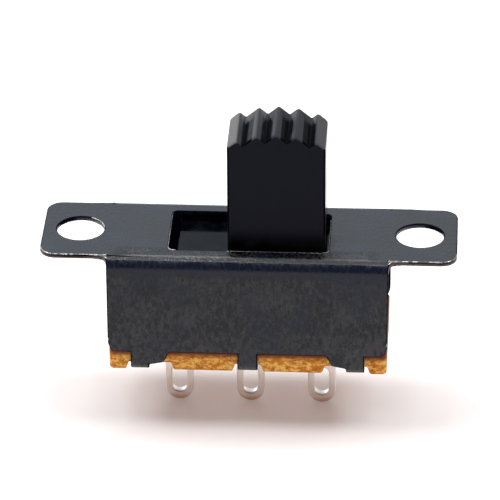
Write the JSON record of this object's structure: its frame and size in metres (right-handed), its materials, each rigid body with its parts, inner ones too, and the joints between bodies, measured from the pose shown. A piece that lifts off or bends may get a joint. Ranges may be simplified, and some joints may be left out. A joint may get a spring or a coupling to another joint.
{
  "type": "slide switch",
  "caption": "Miniature slide switch with a ridged sliding knob, a folded black steel frame with screw ears, and solder lugs on an insulating board.",
  "frame": {"origin": "centre of the plate's top face, midway between the two ear holes", "axes": "+Z is the plate's outward normal, on the knob's side; +X runs along the slot through both ear holes, towards the knob's rest position; +Y points away from the front wall"},
  "size_m": [0.0184, 0.0054, 0.0142],
  "materials": {
    "black_steel": "black oxide steel sheet, satin",
    "black_plastic": "moulded black plastic, semi-gloss",
    "phenolic": "laminated phenolic board, brown, satin",
    "silvered_brass": "silver-plated brass",
    "contact_bronze": "spring bronze strip, bright",
    "spring_steel": "drawn spring wire"
  },
  "bodies": {
    "case": {"frame": "black_steel", "base_board": "phenolic", "terminal_left": "silvered_brass", "terminal_centre": "silvered_brass", "terminal_right": "silvered_brass"},
    "carriage": {"slider": "black_plastic", "contact_bridge": "contact_bronze", "contact_spring": "spring_steel"}
  },
  "joints": [
    {"name": "slider_travel", "type": "slide", "parent": "case", "child": "carriage", "axis": [1, 0, 0], "range_m": [-0.00244, 0]}
  ]
}
